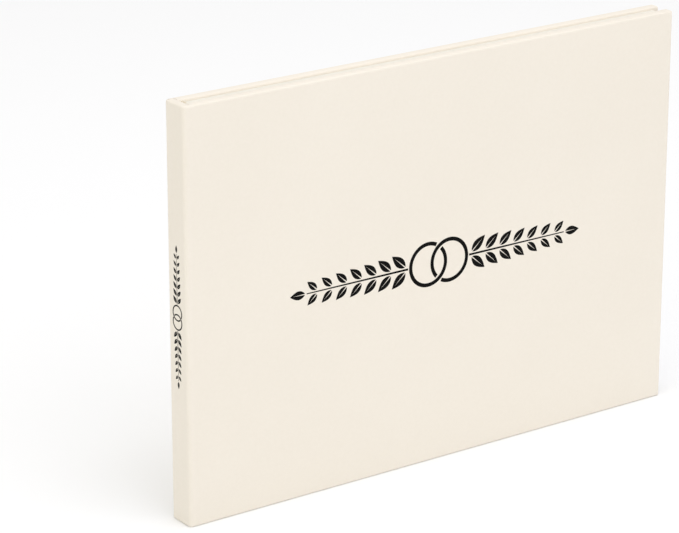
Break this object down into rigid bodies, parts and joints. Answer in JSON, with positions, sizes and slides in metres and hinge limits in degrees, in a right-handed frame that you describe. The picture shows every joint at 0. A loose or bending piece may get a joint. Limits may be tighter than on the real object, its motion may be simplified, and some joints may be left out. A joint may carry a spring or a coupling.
{
  "type": "wedding guest book",
  "caption": "Landscape hardback guest book standing on its tail edge: two cloth-covered boards, a square spine, sewn leaves between them, and a stamped foil motif.",
  "frame": {"origin": "under the middle of the closed book, on the surface it stands on", "axes": "+X from the spine to the fore edge, +Y from the front cover to the back cover, +Z from the tail to the head"},
  "size_m": [0.217, 0.012, 0.1545],
  "materials": {
    "ivory_cloth": "matte ivory book cloth with a fine close texture",
    "greyboard": "raw grey binder's board",
    "cream_paper": "uncoated cream paper",
    "mull": "starched open gauze",
    "linen_tape": "plain woven tape",
    "linen_thread": "waxed thread",
    "band_silk": "silky woven bead",
    "black_foil": "hot-stamped black pigment foil, satin"
  },
  "bodies": {
    "spine": {"spine_board": "greyboard", "spine_cloth": "ivory_cloth", "spine_paper_lining": "cream_paper", "spine_mull": "mull", "spine_foil_motif": "black_foil", "sewn_gutter": "cream_paper", "sewing_tape_1": "linen_tape", "sewing_tape_2": "linen_tape", "sewing_tape_3": "linen_tape", "kettle_stitch_tail": "linen_thread", "kettle_stitch_head": "linen_thread", "headband": "band_silk", "tailband": "band_silk"},
    "front_cover": {"front_board": "greyboard", "front_cover_cloth": "ivory_cloth", "front_mull_wing": "mull", "front_pastedown": "cream_paper", "front_foil_motif": "black_foil"},
    "back_cover": {"back_board": "greyboard", "back_cover_cloth": "ivory_cloth", "back_mull_wing": "mull", "back_pastedown": "cream_paper"},
    "front_flyleaf": {"front_flyleaf": "cream_paper"},
    "section_1": {"section_1": "cream_paper"},
    "section_2": {"section_2": "cream_paper"},
    "section_3": {"section_3": "cream_paper"},
    "section_4": {"section_4": "cream_paper"},
    "section_5": {"section_5": "cream_paper"},
    "section_6": {"section_6": "cream_paper"},
    "back_flyleaf": {"back_flyleaf": "cream_paper"}
  },
  "joints": [
    {"name": "front_cover_hinge", "type": "hinge", "parent": "spine", "child": "front_cover", "pos_m": [-0.1085, -0.006, 0.07725], "axis": [0, 0, -1], "range_deg": [0, 179]},
    {"name": "front_flyleaf_turn", "type": "hinge", "parent": "spine", "child": "front_flyleaf", "pos_m": [-0.1085, -0.006, 0.07725], "axis": [0, 0, -1], "range_deg": [0, 162]},
    {"name": "section_1_turn", "type": "hinge", "parent": "spine", "child": "section_1", "pos_m": [-0.1085, -0.006, 0.07725], "axis": [0, 0, -1], "range_deg": [0, 135]},
    {"name": "section_2_turn", "type": "hinge", "parent": "spine", "child": "section_2", "pos_m": [-0.1085, -0.006, 0.07725], "axis": [0, 0, -1], "range_deg": [0, 99]},
    {"name": "section_3_turn", "type": "hinge", "parent": "spine", "child": "section_3", "pos_m": [-0.1085, -0.006, 0.07725], "axis": [0, 0, -1], "range_deg": [0, 63]},
    {"name": "section_4_turn", "type": "hinge", "parent": "spine", "child": "section_4", "pos_m": [-0.1085, 0.006, 0.07725], "axis": [0, 0, 1], "range_deg": [0, 63]},
    {"name": "section_5_turn", "type": "hinge", "parent": "spine", "child": "section_5", "pos_m": [-0.1085, 0.006, 0.07725], "axis": [0, 0, 1], "range_deg": [0, 99]},
    {"name": "section_6_turn", "type": "hinge", "parent": "spine", "child": "section_6", "pos_m": [-0.1085, 0.006, 0.07725], "axis": [0, 0, 1], "range_deg": [0, 135]},
    {"name": "back_flyleaf_turn", "type": "hinge", "parent": "spine", "child": "back_flyleaf", "pos_m": [-0.1085, 0.006, 0.07725], "axis": [0, 0, 1], "range_deg": [0, 162]},
    {"name": "back_cover_hinge", "type": "hinge", "parent": "spine", "child": "back_cover", "pos_m": [-0.1085, 0.006, 0.07725], "axis": [0, 0, 1], "range_deg": [0, 179]}
  ],
  "couplings": [
    {"joint": "front_flyleaf_turn", "follows": "front_cover_hinge", "ratio": 0.9},
    {"joint": "section_1_turn", "follows": "front_cover_hinge", "ratio": 0.75},
    {"joint": "section_2_turn", "follows": "front_cover_hinge", "ratio": 0.55},
    {"joint": "section_3_turn", "follows": "front_cover_hinge", "ratio": 0.35},
    {"joint": "section_4_turn", "follows": "back_cover_hinge", "ratio": 0.35},
    {"joint": "section_5_turn", "follows": "back_cover_hinge", "ratio": 0.55},
    {"joint": "section_6_turn", "follows": "back_cover_hinge", "ratio": 0.75},
    {"joint": "back_flyleaf_turn", "follows": "back_cover_hinge", "ratio": 0.9}
  ]
}
